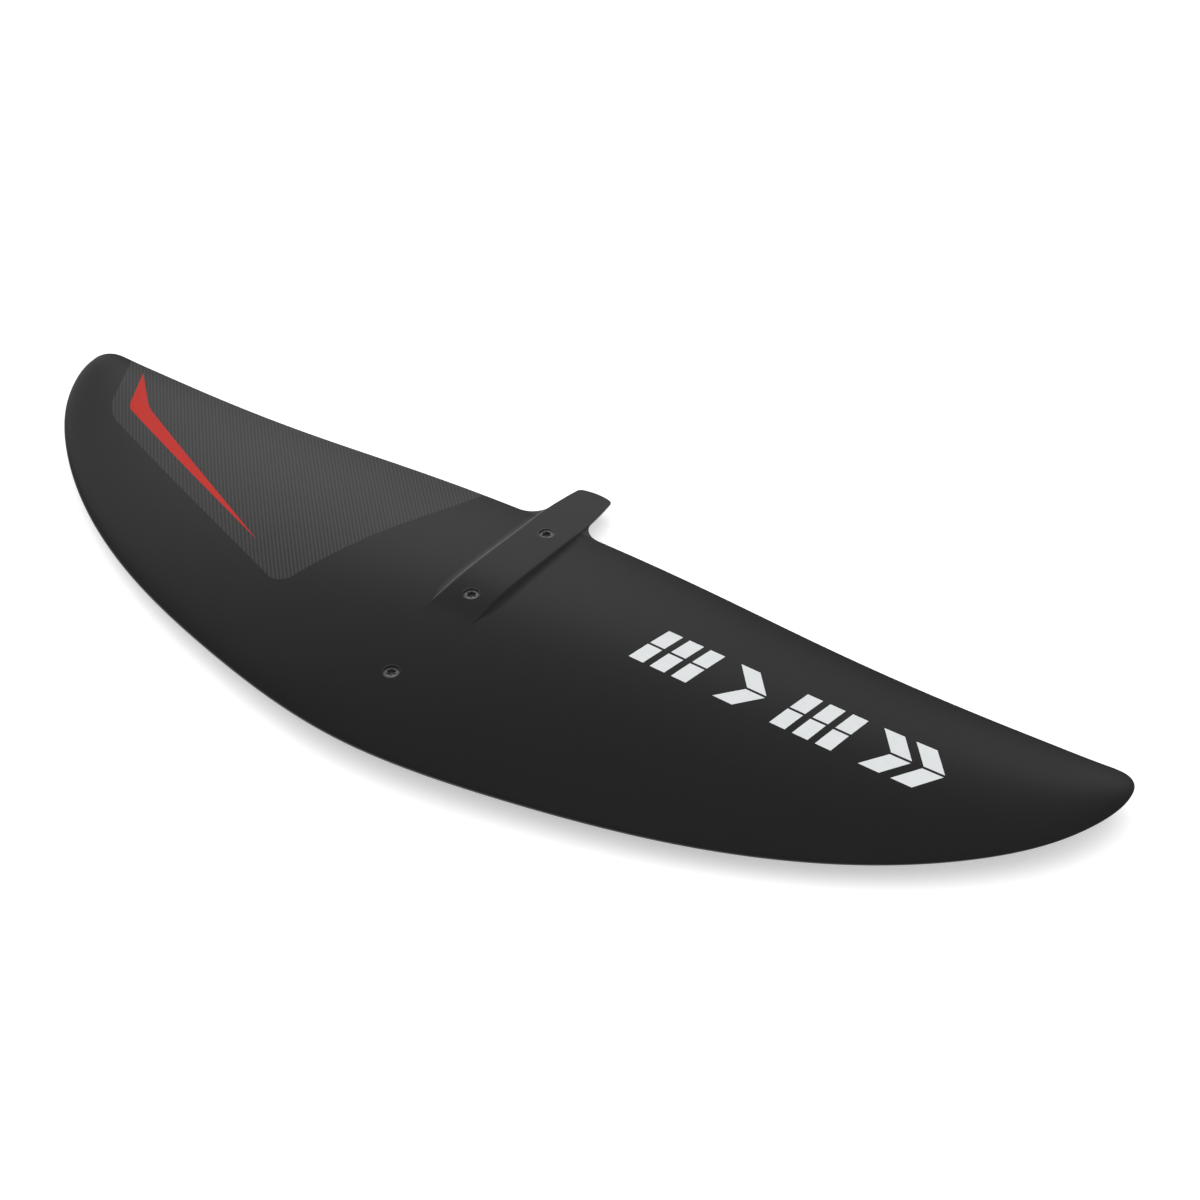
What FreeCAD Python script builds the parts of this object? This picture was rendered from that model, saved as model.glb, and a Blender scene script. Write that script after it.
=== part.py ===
# Hydrofoil front wing for a board: a carbon shell over a foam core with spars,
# a moulded centre ridge and tail, a flat seat for the fuselage and three
# countersunk screws.  Millimetres, +X along the span, +Y towards the trailing
# edge, +Z out of the printed face.  The origin lies on the fuselage seat, on
# the axis of the middle screw.
import FreeCAD, Part
import math
import os
import Sketcher

Vector = FreeCAD.Vector

os.makedirs("parts", exist_ok=True)
doc = FreeCAD.newDocument("HydrofoilWing")

# ---------------------------------------------------------------------------
# Driving dimensions
# ---------------------------------------------------------------------------
DIMENSIONS = [
    ("span", 679.0, "tip to tip"),
    ("chord_height", 7.5, "chord line above the fuselage seat at the root"),
    ("gull_drop", 18.5, "second-order drop of the half span"),
    ("gull_rise", 22.0, "fourth-order rise towards the tip"),
    ("lead_00", -113.0, "leading edge at the root"),
    ("lead_15", -101.5, "leading edge at 15 degrees of span angle"),
    ("lead_30", -79.0, "leading edge at 30 degrees"),
    ("lead_45", -48.0, "leading edge at 45 degrees"),
    ("lead_60", -11.5, "leading edge at 60 degrees"),
    ("lead_70", 13.5, "leading edge at 70 degrees"),
    ("lead_78", 33.5, "leading edge at 78 degrees"),
    ("trail_00", 82.0, "trailing edge at the root"),
    ("trail_15", 80.5, "trailing edge at 15 degrees"),
    ("trail_30", 76.5, "trailing edge at 30 degrees"),
    ("trail_45", 74.5, "trailing edge at 45 degrees"),
    ("trail_60", 73.0, "trailing edge at 60 degrees"),
    ("trail_70", 71.5, "trailing edge at 70 degrees"),
    ("trail_78", 70.0, "trailing edge at 78 degrees"),
    ("tip_station", 58.5, "where both edges meet at the tip"),
    ("nose_factor", 0.11, "shape factor that sets the nose radius"),
    ("top_front", 0.10, "printed face, fullness ahead of mid chord"),
    ("top_rear", 0.20, "printed face, fullness behind mid chord"),
    ("top_tail", 0.05, "printed face, fullness at the trailing edge"),
    ("belly_front", 0.092, "seat face, fullness ahead of mid chord"),
    ("belly_rear", 0.088, "seat face, fullness behind mid chord"),
    ("belly_tail", 0.08, "seat face, fullness at the trailing edge"),
    ("trail_half", 0.4, "half thickness of the trailing edge"),
    ("skin", 1.5, "laminate thickness"),
    ("inlay", 0.25, "depth of the surface ply, paint and print"),
    ("nose_land", 9.0, "solid laminate behind the leading edge"),
    ("tail_land", 26.0, "solid laminate ahead of the trailing edge"),
    ("core_reach", 316.0, "half span of the core cavity"),
    ("block_half", 18.0, "half width of the centre block"),
    ("spar_reach", 262.0, "half span of the spars"),
    ("cap", 1.6, "spar cap thickness"),
    ("web", 4.0, "shear web thickness"),
    ("ridge_half", 14.5, "half width of the flat ridge top"),
    ("flare", 5.5, "width of the concave flank beside the ridge"),
    ("fillet", 12.5, "plan radius between trailing edge and tongue"),
    ("tail_half", 11.6, "half width of the tongue where its corner starts"),
    ("tail_end", 122.4, "end of the tongue behind the middle screw"),
    ("tail_top", 3.1, "top of the tongue end above the seat"),
    ("tail_edge", 1.0, "upright edge of the tongue above its bevel"),
    ("ridge_slope", 0.132, "fall of the ridge top per unit length"),
    ("plate", 2.0, "seat plate thickness"),
    ("plate_front", -92.0, "front end of the seat plate"),
    ("plate_half", 14.0, "half width of the seat plate"),
    ("plate_waist", 9.6, "half width of the seat plate under the tongue"),
    ("plate_end", 112.0, "rear end of the seat plate"),
    ("pitch_front", 68.0, "front screw ahead of the middle screw"),
    ("pitch_rear", 70.0, "rear screw behind the middle screw"),
    ("thread", 5.0, "screw thread diameter"),
    ("neck", 4.5, "screw shank diameter above the thread"),
    ("head", 8.5, "screw head diameter"),
    ("sleeve_bore", 5.5, "clearance bore of the sleeves"),
    ("sleeve_tube", 7.6, "outside of the sleeve tube"),
    ("sleeve_rim", 9.1, "outside of the sleeve rim"),
    ("head_gap", 0.15, "gap between screw head and its cone"),
    ("top_of_front", 15.0, "front screw head above the seat"),
    ("top_of_middle", 16.4, "middle screw head above the seat"),
    ("top_of_rear", 9.0, "rear screw head above the seat"),
    ("long_screw", 25.0, "front and middle screw length"),
    ("short_screw", 20.0, "rear screw length"),
    ("drive", 5.2, "across the lobes of the screw drive"),
    ("drive_depth", 1.6, "depth of the screw drive"),
]

sheet = doc.addObject("Spreadsheet::Sheet", "Dimensions")
for row, (name, value, note) in enumerate(DIMENSIONS, 1):
    sheet.set("A%d" % row, name)
    sheet.set("B%d" % row, str(value))
    sheet.set("C%d" % row, note)
    sheet.setAlias("B%d" % row, name)
doc.recompute()


def dim(name):
    """Value of one driving dimension."""
    return float(sheet.get(name))


HALF_SPAN = dim("span") / 2.0


# ---------------------------------------------------------------------------
# Wing surface formulas.  The span angle runs from 0 at the root to 90 degrees
# at the tip: x = half span * sin(angle).
# ---------------------------------------------------------------------------
def edge_curve(prefix):
    """Leading or trailing edge as a smooth curve over the span angle."""
    angles = [0.0, 15.0, 30.0, 45.0, 60.0, 70.0, 78.0]
    reach = [dim("%s_%02d" % (prefix, int(a))) for a in angles]
    angles.append(90.0)
    reach.append(dim("tip_station"))
    left = [(-a, y) for a, y in zip(angles, reach) if a > 0]
    rows = sorted(left + list(zip(angles, reach)))
    curve = Part.BSplineCurve()
    curve.interpolate(Points=[Vector(a, y, 0) for a, y in rows],
                      Parameters=[a for a, y in rows])
    return curve


lead_curve = edge_curve("lead")
trail_curve = edge_curve("trail")


def span_angle(x):
    return math.degrees(math.asin(max(-1.0, min(1.0, x / HALF_SPAN))))


def edges_at(x):
    """Leading edge, trailing edge at a span position."""
    angle = span_angle(x)
    return lead_curve.value(angle).y, trail_curve.value(angle).y


def mid_height(x):
    ratio = x / HALF_SPAN
    return (dim("chord_height") - dim("gull_drop") * ratio ** 2
            + dim("gull_rise") * ratio ** 4)


TOP_SHAPE = [dim("nose_factor"), dim("top_front"), dim("top_rear"), dim("top_tail")]
BELLY_SHAPE = [dim("nose_factor"), dim("belly_front"), dim("belly_rear"),
               dim("belly_tail")]


def fullness(s, shape):
    """Cubic Bernstein blend of the four shape factors along the chord."""
    r = 1.0 - s
    return (shape[0] * r ** 3 + 3 * shape[1] * s * r ** 2
            + 3 * shape[2] * s ** 2 * r + shape[3] * s ** 3)


def wrap_point(x, turn, lift=0.0):
    """Point on the wing: turn 0 is the upper trailing edge, 180 degrees the
    nose and 360 degrees the lower trailing edge."""
    lead, trail = edges_at(x)
    chord = trail - lead
    side = math.cos(math.radians(turn) / 2.0)
    s = side * side
    shape = TOP_SHAPE if side >= 0 else BELLY_SHAPE
    rise = side * (1.0 - s) * fullness(s, shape) * chord
    rise += side * s * dim("trail_half")
    return Vector(x, lead + s * chord, mid_height(x) + rise + lift)


def surface_height(x, y):
    """Height of the printed face at a place inside the outline."""
    lead, trail = edges_at(x)
    s = max(0.0, min(1.0, (y - lead) / (trail - lead)))
    root = math.sqrt(s)
    rise = root * (1.0 - s) * fullness(s, TOP_SHAPE) * (trail - lead)
    return mid_height(x) + rise + root * s * dim("trail_half")


TIP_ANGLE = 86.5
STATIONS = 41
STATION_X = [HALF_SPAN * math.sin(math.radians(
    -TIP_ANGLE + 2 * TIP_ANGLE * i / (STATIONS - 1))) for i in range(STATIONS)]


def wing_face(first, last, count, lift=0.0):
    """Smooth face through the wing points between two turns."""
    turns = [first + (last - first) * j / (count - 1.0) for j in range(count)]
    grid = [[wrap_point(x, turn, lift) for turn in turns] for x in STATION_X]
    surface = Part.BSplineSurface()
    surface.interpolate(grid)
    return surface.toShape()


def edge_near(face, point):
    """Boundary edge whose middle lies closest to a point."""
    def gap(edge):
        middle = edge.valueAt((edge.FirstParameter + edge.LastParameter) / 2.0)
        return middle.distanceToPoint(point)
    return min(face.Edges, key=gap)


def wing_solid():
    """Closed wing volume: wrapped face, trailing strip and two tip faces."""
    wrap = wing_face(0.0, 360.0, 33)
    upper = edge_near(wrap, wrap_point(0.0, 0.0))
    lower = edge_near(wrap, wrap_point(0.0, 360.0))
    strip = Part.makeRuledSurface(upper, lower)
    faces = [wrap, strip]
    for x in (STATION_X[0], STATION_X[-1]):
        nose = wrap_point(x, 180.0)
        rim = edge_near(wrap, nose)
        ends = edge_near(strip, wrap_point(x, 0.0))
        faces.append(Part.Face(Part.Wire(Part.__sortEdges__([rim, ends]))))
    shell = Part.makeShell(faces)
    shell.sewShape()
    solid = Part.Solid(shell)
    if solid.Volume < 0:
        solid.reverse()
    return solid


def above_face(lift):
    """Everything above the printed face after shifting it by lift."""
    return wing_face(0.0, 180.0, 17, lift).extrude(Vector(0, 0, 60))


def below_face(lift):
    """Everything below the seat face after shifting it by lift."""
    return wing_face(180.0, 360.0, 17, lift).extrude(Vector(0, 0, -60))


def prism(points, low=-40.0, high=60.0):
    """Upright prism over a closed outline of points."""
    corners = [Vector(x, y, low) for x, y in points]
    wire = Part.makePolygon(corners + corners[:1])
    return Part.Face(wire).extrude(Vector(0, 0, high - low))


def edge_prism(edges, low=-40.0, high=60.0):
    """Upright prism over an outline of edges drawn at height zero."""
    wire = Part.Wire(Part.__sortEdges__(edges))
    face = Part.Face(wire)
    face.translate(Vector(0, 0, low))
    return face.extrude(Vector(0, 0, high - low))


def smooth_edge(points):
    curve = Part.BSplineCurve()
    curve.interpolate([Vector(x, y, 0) for x, y in points])
    return curve.toShape()


def line_edge(start, end):
    return Part.makeLine(Vector(start[0], start[1], 0), Vector(end[0], end[1], 0))


def mirrored(shape):
    return shape.mirror(Vector(0, 0, 0), Vector(1, 0, 0))


# ---------------------------------------------------------------------------
# Volumes: whole wing, upper half space, core cavity
# ---------------------------------------------------------------------------
wing = wing_solid()

MID_REACH = HALF_SPAN + 10.0
mid_points = [MID_REACH * i / 16.0 for i in range(-16, 17)]
mid_curve = Part.BSplineCurve()
mid_curve.interpolate([Vector(x, -160.0, mid_height(x)) for x in mid_points])
mid_sheet = mid_curve.toShape().extrude(Vector(0, 320, 0))
upper_space = mid_sheet.extrude(Vector(0, 0, 80))

reach = dim("core_reach")
cavity_x = [reach * math.sin(math.radians(90.0 * i / 8.0)) for i in range(-8, 9)]
nose_line = [(x, edges_at(x)[0] + dim("nose_land")) for x in cavity_x]
tail_line = [(x, edges_at(x)[1] - dim("tail_land")) for x in cavity_x]
cavity_prism = edge_prism([
    smooth_edge(nose_line),
    line_edge(nose_line[-1], tail_line[-1]),
    smooth_edge(tail_line),
    line_edge(tail_line[0], nose_line[0]),
])
over_skin = above_face(-dim("skin"))
under_skin = below_face(dim("skin"))
cavity = cavity_prism.cut(over_skin).cut(under_skin)

# ---------------------------------------------------------------------------
# Ridge and tongue, moulded in one with the upper skin
# ---------------------------------------------------------------------------
END = dim("tail_end")
SLOPE = dim("ridge_slope")


def ridge_height(y):
    """Top of the ridge: straight fall aft, rounding over into the wing."""
    return dim("tail_top") + SLOPE * (END - y)


RIDGE_START = -40.0
crest = [(RIDGE_START, 15.2), (-14.0, 16.95), (4.0, 17.25), (20.0, 16.3)]
crest += [(y, ridge_height(y)) for y in (40.0, 70.0, 95.0, END)]


TAPER_FROM = 86.0
CORNER_FROM = END - 4.9


def ridge_half_at(y):
    """Half width of the ridge, drawn in towards the end of the tongue."""
    if y <= TAPER_FROM:
        return dim("ridge_half")
    ratio = (y - TAPER_FROM) / (CORNER_FROM - TAPER_FROM)
    drawn = 0.38 * ratio + 0.62 * ratio ** 2
    return dim("ridge_half") + (dim("tail_half") - dim("ridge_half")) * drawn


crest_curve = Part.BSplineCurve()
crest_curve.interpolate([Vector(0, y, z) for y, z in crest])
crest_edge = crest_curve.toShape()
parting = dim("chord_height")
plate_top = dim("plate")
TONGUE_ROOT = 64.0
profile = [Vector(0, END, crest[-1][1]), Vector(0, END, plate_top),
           Vector(0, TONGUE_ROOT, plate_top), Vector(0, TONGUE_ROOT, parting),
           Vector(0, RIDGE_START, parting), Vector(0, RIDGE_START, crest[0][1])]
lower_run = Part.makePolygon(profile)
ridge_side = Part.Face(Part.Wire([crest_edge] + lower_run.Edges))
ridge_side.translate(Vector(-25, 0, 0))
ridge_slab = ridge_side.extrude(Vector(50, 0, 0))

half = dim("ridge_half")
tip_half = dim("tail_half")
side_line = [(ridge_half_at(y), y) for y in (TAPER_FROM, 94.0, 102.0, 110.0, CORNER_FROM)]
corner = [(tip_half, CORNER_FROM), (tip_half - 1.3, END - 2.2), (tip_half - 3.9, END - 0.8)]
right_corner = Part.Arc(*[Vector(x, y, 0) for x, y in corner]).toShape()
end_bow = Part.Arc(Vector(corner[2][0], corner[2][1], 0), Vector(0, END, 0),
                   Vector(-corner[2][0], corner[2][1], 0)).toShape()
right_side = smooth_edge(side_line)
plan = [
    line_edge((-half, RIDGE_START - 1), (half, RIDGE_START - 1)),
    line_edge((half, RIDGE_START - 1), (half, TAPER_FROM)),
    right_side,
    right_corner,
    end_bow,
    mirrored(right_corner),
    mirrored(right_side),
    line_edge((-half, TAPER_FROM), (-half, RIDGE_START - 1)),
]
ridge = ridge_slab.common(edge_prism(plan))


def bevel_wire(y, wall, edge):
    """Section of the space under one bevelled side of the tongue."""
    low = plate_top - 0.5
    corners = [Vector(wall - (edge - low), y, low), Vector(wall + 9.0, y, low),
               Vector(wall + 9.0, y, edge + 9.0)]
    return Part.makePolygon(corners + corners[:1])


ROOT_EDGE = 6.8
root_bevel = Part.makeLoft([bevel_wire(TONGUE_ROOT - 1.0, half, ROOT_EDGE),
                            bevel_wire(TAPER_FROM, half, ROOT_EDGE)], True, True)
tail_edge = dim("tail_top") - dim("tail_edge")
tail_bevel = Part.makeLoft([bevel_wire(TAPER_FROM, half, ROOT_EDGE),
                            bevel_wire(END + 1.0, tip_half, tail_edge)], True, True)
for bevel in (root_bevel, tail_bevel):
    ridge = ridge.cut(bevel).cut(mirrored(bevel))


def concave_wire(y, wall, width, foot, lip, drop):
    """Closed section that sweeps in a hollow from the lip down to the foot."""
    inner = wall - 0.4
    outer = wall + width
    bend = Part.BezierCurve()
    bend.setPoles([Vector(outer, y, foot),
                   Vector(wall + 0.22 * width, y, foot + 0.12 * (lip - foot)),
                   Vector(wall - 0.05, y, lip)])
    edges = [Part.makeLine(Vector(inner, y, foot - drop), Vector(outer, y, foot - drop)),
             Part.makeLine(Vector(outer, y, foot - drop), Vector(outer, y, foot)),
             bend.toShape(),
             Part.makeLine(Vector(wall - 0.05, y, lip), Vector(inner, y, lip)),
             Part.makeLine(Vector(inner, y, lip), Vector(inner, y, foot - drop))]
    return Part.Wire(edges)


def crest_at(y):
    return crest_curve.value(crest_curve.parameter(Vector(0, y, ridge_height(y)))).z


TRAIL_BESIDE = edges_at(20.0)[1]


def flank_wire(y):
    """Concave flank beside the ridge, on the wing."""
    wall = ridge_half_at(y)
    top = crest_at(y)
    foot = surface_height(wall + dim("flare"), y)
    width = dim("flare") * max(0.3, min(1.0, (top - foot) / 1.2))
    foot = surface_height(wall + width, y)
    drop = 2.0 if y < 60.0 else 2.0 - 1.2 * (y - 60.0) / (TRAIL_BESIDE - 60.0)
    shoulder = min(0.34, max(0.12, 0.34 - 0.22 * (y - 10.0) / 30.0))
    lip = max(top - shoulder - 0.12 * (top - foot), foot + 0.03)
    return concave_wire(y, wall, width, foot, lip, drop)


def web_wire(behind):
    """Web in the corner between trailing edge and tongue."""
    y = TRAIL_BESIDE + behind
    wall = ridge_half_at(y)
    top = crest_at(y)
    if behind <= 0.0:
        width = dim("fillet")
        foot = surface_height(wall + width, y) - 0.1
        rise = 1.0 + behind / 2.1
    else:
        past = 1.0 - min(1.0, behind / dim("fillet"))
        width = 0.05 + dim("fillet") * (1.0 - math.sqrt(1.0 - past ** 2))
        foot = surface_height(20.0, TRAIL_BESIDE) - 0.05 - 0.105 * behind
        rise = 1.0
    lip = max(top - 0.12 - 0.12 * (top - foot), foot + 0.03)
    lip = foot + 0.03 + rise * (lip - foot - 0.03)
    return concave_wire(y, wall, width, foot, lip, 0.7)


FLANK_STATIONS = [-7.0, 2.0, 14.0, 28.0, 42.0, 56.0, 68.0, 77.0, 81.5]
WEB_STATIONS = [-2.1, -1.0, 0.0, 0.15, 0.5, 1.1, 2.2, 3.8, 5.8, 8.2, 10.6, 12.5]
flank_fore = Part.makeLoft([flank_wire(y) for y in FLANK_STATIONS], True, False)
flank_aft = Part.makeLoft([web_wire(behind) for behind in WEB_STATIONS], True, True)
ridge_parts = [ridge.fuse(flank_fore).fuse(mirrored(flank_fore)),
               flank_aft, mirrored(flank_aft)]

# ---------------------------------------------------------------------------
# Seat plate: the flat the fuselage bolts to
# ---------------------------------------------------------------------------
def origin_plane(body, role):
    """Base plane of a body, such as XY_Plane."""
    for feature in body.Origin.OriginFeatures:
        if feature.Role == role:
            return feature
    raise ValueError(role)


plate_body = doc.addObject("PartDesign::Body", "SeatPlateBody")
plate_sketch = plate_body.newObject("Sketcher::SketchObject", "SeatPlateOutline")
plate_sketch.AttachmentSupport = [(origin_plane(plate_body, "XY_Plane"), "")]
plate_sketch.MapMode = "FlatFace"
plate_half = dim("plate_half")
plate_waist = dim("plate_waist")
nose_y = dim("plate_front") + plate_half
plate_points = [Vector(-plate_half, nose_y, 0), Vector(plate_half, nose_y, 0),
                Vector(plate_half, 50.0, 0), Vector(plate_waist, 72.0, 0),
                Vector(plate_waist, 106.0, 0), Vector(-plate_waist, 106.0, 0),
                Vector(-plate_waist, 72.0, 0), Vector(-plate_half, 50.0, 0)]
front_arc = Part.Arc(plate_points[1], Vector(0, nose_y - plate_half, 0),
                     plate_points[0])
aft_arc = Part.Arc(plate_points[4], Vector(0, dim("plate_end"), 0), plate_points[5])
plate_sketch.addGeometry(front_arc)
for start in (1, 2, 3):
    plate_sketch.addGeometry(Part.LineSegment(plate_points[start],
                                              plate_points[start + 1]))
plate_sketch.addGeometry(aft_arc)
for start in (5, 6, 7):
    plate_sketch.addGeometry(Part.LineSegment(plate_points[start],
                                              plate_points[(start + 1) % 8]))
plate_pad = plate_body.newObject("PartDesign::Pad", "SeatPlatePad")
plate_pad.Profile = plate_sketch
plate_pad.setExpression("Length", "Dimensions.plate")
plate_body.Tip = plate_pad
doc.recompute()
plate_blank = plate_body.Shape.copy()

# ---------------------------------------------------------------------------
# Screws and countersunk sleeves, turned about their own axes
# ---------------------------------------------------------------------------
SCREWS = {
    "front": (-dim("pitch_front"), dim("top_of_front"), "long_screw", "top_of_front",
              "-Dimensions.pitch_front"),
    "middle": (0.0, dim("top_of_middle"), "long_screw", "top_of_middle", "0 * 1"),
    "rear": (dim("pitch_rear"), dim("top_of_rear"), "short_screw", "top_of_rear",
             "Dimensions.pitch_rear"),
}


def turned_body(name, points):
    """PartDesign body turned about its own upright axis from (r, z) points."""
    body = doc.addObject("PartDesign::Body", name)
    sketch = body.newObject("Sketcher::SketchObject", name + "Profile")
    sketch.AttachmentSupport = [(origin_plane(body, "XZ_Plane"), "")]
    sketch.MapMode = "FlatFace"
    corners = [Vector(r, z, 0) for r, z in points]
    for start, end in zip(corners, corners[1:] + corners[:1]):
        sketch.addGeometry(Part.LineSegment(start, end))
    count = len(corners)
    for i in range(count):
        sketch.addConstraint(Sketcher.Constraint("Coincident", i, 2, (i + 1) % count, 1))
    turn = body.newObject("PartDesign::Revolution", name + "Turn")
    turn.Profile = sketch
    turn.ReferenceAxis = (sketch, ["V_Axis"])
    turn.Angle = 360.0
    body.Tip = turn
    doc.recompute()
    return body


def lobed_socket(body, name):
    """Six-lobed drive sunk into the head from its top face."""
    sketch = body.newObject("Sketcher::SketchObject", name + "Drive")
    sketch.AttachmentSupport = [(origin_plane(body, "XY_Plane"), "")]
    sketch.MapMode = "FlatFace"
    outer = dim("drive") / 2.0
    waist = 0.86 * outer
    inner = 0.72 * outer

    def at(angle, radius):
        a = math.radians(angle)
        return Vector(radius * math.cos(a), radius * math.sin(a), 0)

    for lobe in range(6):
        base = 60.0 * lobe
        sketch.addGeometry(Part.Arc(at(base - 13, waist), at(base, outer),
                                    at(base + 13, waist)))
        sketch.addGeometry(Part.Arc(at(base + 13, waist), at(base + 30, inner),
                                    at(base + 47, waist)))
    full = body.Shape.Volume
    pocket = body.newObject("PartDesign::Pocket", name + "Socket")
    pocket.Profile = sketch
    pocket.setExpression("Length", "Dimensions.drive_depth")
    body.Tip = pocket
    doc.recompute()
    if body.Shape.Volume > full - 5.0:
        pocket.Reversed = True
        doc.recompute()
    return body


head_r = dim("head") / 2.0
thread_r = dim("thread") / 2.0
neck_r = dim("neck") / 2.0
bore_r = dim("sleeve_bore") / 2.0
tube_r = dim("sleeve_tube") / 2.0
rim_r = dim("sleeve_rim") / 2.0
gap = dim("head_gap")
RISE = 6.0
screw_bodies = {}
sleeve_shapes = {}

for place, (y, top, length_name, top_name, y_expression) in SCREWS.items():
    length = dim(length_name)
    name = "Screw" + place.capitalize()
    screw = turned_body(name, [
        (0.0, 0.0), (head_r - 0.15, 0.0), (head_r, -0.15), (head_r, -0.35),
        (neck_r, -0.35 - (head_r - neck_r)), (neck_r, -0.1 - top),
        (thread_r, -0.1 - top - (thread_r - neck_r)), (thread_r, 0.8 - length),
        (thread_r - 0.8, -length), (0.0, -length)])
    lobed_socket(screw, name)
    screw.setExpression("Placement.Base.y", y_expression)
    screw.setExpression("Placement.Base.z", "Dimensions." + top_name)
    screw_bodies[place] = screw

    # The sleeve is a tube with a countersunk rim; the cone is cut through
    # the rim so that the head lies below the surface.
    seat_r = head_r + gap
    cone_low = top - 0.35 - (head_r - bore_r) - gap
    name = "Sleeve" + place.capitalize()
    sleeve = turned_body(name, [
        (bore_r, dim("plate") - top), (tube_r, dim("plate") - top),
        (tube_r, cone_low - top - 0.2), (rim_r, cone_low - top - 0.2 + rim_r - tube_r),
        (rim_r, RISE), (seat_r + 0.05, RISE), (seat_r, 0.0),
        (seat_r, -0.35), (bore_r, -0.35 - (seat_r - bore_r))])
    sleeve.setExpression("Placement.Base.y", y_expression)
    sleeve.setExpression("Placement.Base.z", "Dimensions." + top_name)
    doc.recompute()
    sleeve_shapes[place] = sleeve.Shape.copy()
doc.recompute()

# Space above the finished top: wing surface ahead, ridge crest behind.
crest_face_edge = crest_edge.copy()
crest_face_edge.translate(Vector(-30, 0, 0))
over_ridge = crest_face_edge.extrude(Vector(60, 0, 0)).extrude(Vector(0, 0, 60))

trim = {"front": above_face(0.0), "middle": over_ridge, "rear": over_ridge}
for place in SCREWS:
    sleeve_shapes[place] = sleeve_shapes[place].cut(trim[place])


def hole_tool(place):
    """Filled outline of a sleeve, used to cut its seat in other pieces."""
    y, top = SCREWS[place][0], SCREWS[place][1]
    cone_low = top - 0.35 - (head_r - bore_r) - gap - 0.2
    points = [(0, dim("plate")), (tube_r, dim("plate")), (tube_r, cone_low),
              (rim_r, cone_low + rim_r - tube_r), (rim_r, top + 20), (0, top + 20)]
    wire = Part.makePolygon([Vector(r, 0, z) for r, z in points + points[:1]])
    solid = Part.Face(wire).revolve(Vector(0, 0, 0), Vector(0, 0, 1), 360)
    solid.translate(Vector(0, y, 0))
    return solid


sleeve_holes = [hole_tool(place) for place in SCREWS]
bolt_holes = [Part.makeCylinder(bore_r, 40, Vector(0, SCREWS[p][0], -20))
              for p in SCREWS]


def cut_all(shape, tools):
    for tool in tools:
        shape = shape.cut(tool)
    return shape


# ---------------------------------------------------------------------------
# Centre block under the ridge
# ---------------------------------------------------------------------------
block_half = dim("block_half")
core_slice = cavity.common(prism([(-block_half, -106), (block_half, -106),
                                  (block_half, 60), (-block_half, 60)]))
pad_plan = prism([(-plate_half, -34), (plate_half, -34), (plate_half, 50),
                  (11.0, TONGUE_ROOT), (-11.0, TONGUE_ROOT), (-plate_half, 50)],
                 plate_top, parting)
block = core_slice.fuse(pad_plan)
block = cut_all(block, ridge_parts + [plate_blank] + sleeve_holes)

# ---------------------------------------------------------------------------
# Skins
# ---------------------------------------------------------------------------
upper_half = wing.common(upper_space)
lower_half = wing.cut(upper_space)
upper_skin = upper_half.cut(cavity).cut(block).fuse(ridge_parts)
upper_skin = cut_all(upper_skin, [plate_blank] + sleeve_holes)
lower_skin = lower_half.cut(cavity)
lower_skin = cut_all(lower_skin, [block, plate_blank] + ridge_parts + bolt_holes
                     + sleeve_holes)

# ---------------------------------------------------------------------------
# Spars and cores, drawn for the right half and mirrored
# ---------------------------------------------------------------------------
spar_end = dim("spar_reach")
over_cap = above_face(-dim("skin") - dim("cap"))
under_cap = below_face(dim("skin") + dim("cap"))
spar_zone = cavity.common(prism([(block_half, -44), (spar_end, 0),
                                 (spar_end, 17), (block_half, -18)]))
spar_cap_top = spar_zone.common(over_cap)
spar_cap_low = spar_zone.common(under_cap)
web_half = dim("web") / 2.0
web_zone = prism([(block_half, -31 - web_half), (spar_end, 8.5 - web_half),
                  (spar_end, 8.5 + web_half), (block_half, -31 + web_half)])
shear_web = cavity.common(web_zone).cut(over_cap).cut(under_cap)
core_right = cavity.common(prism([(block_half, -130), (spar_end, -130),
                                  (spar_end, 90), (block_half, 90)]))
core_right = cut_all(core_right, [spar_cap_top, spar_cap_low, shear_web] + ridge_parts)
fore_side = prism([(block_half, -130), (spar_end, -130), (spar_end, 8.5),
                   (block_half, -31)])
core_front = core_right.common(fore_side)
core_rear = core_right.cut(fore_side)
tip_block = cavity.common(prism([(spar_end, -60), (330, -60), (330, 90),
                                 (spar_end, 90)]))

# ---------------------------------------------------------------------------
# Surface ply, colour accent and printed marks, let into the upper skin
# ---------------------------------------------------------------------------
wrap_face = max(wing.Faces, key=lambda face: face.Area)


def inlay(tool):
    """Thin ply let into the printed face, inside an upright prism."""
    plies = []
    for face in wrap_face.common(tool).Faces:
        middle = face.CenterOfMass
        if middle.z > mid_height(middle.x):
            plies.append(face.extrude(Vector(0, 0, -dim("inlay"))))
    return plies[0] if len(plies) == 1 else Part.makeCompound(plies)


patch_outline = [
    line_edge((-47.5, 90), (-332, 90)),
    line_edge((-332, 90), (-298, 34)),
    Part.Arc(Vector(-298, 34, 0), Vector(-290, 24.5, 0), Vector(-280, 18, 0)).toShape(),
    line_edge((-280, 18), (-103, -44.3)),
    Part.Arc(Vector(-103, -44.3, 0), Vector(-95.5, -44.4, 0),
             Vector(-90.5, -39, 0)).toShape(),
    smooth_edge([(-90.5, -39), (-81.5, -3), (-69.3, 35), (-62, 54.5), (-47.5, 90)]),
]
patch_prism = edge_prism(patch_outline)

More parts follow.
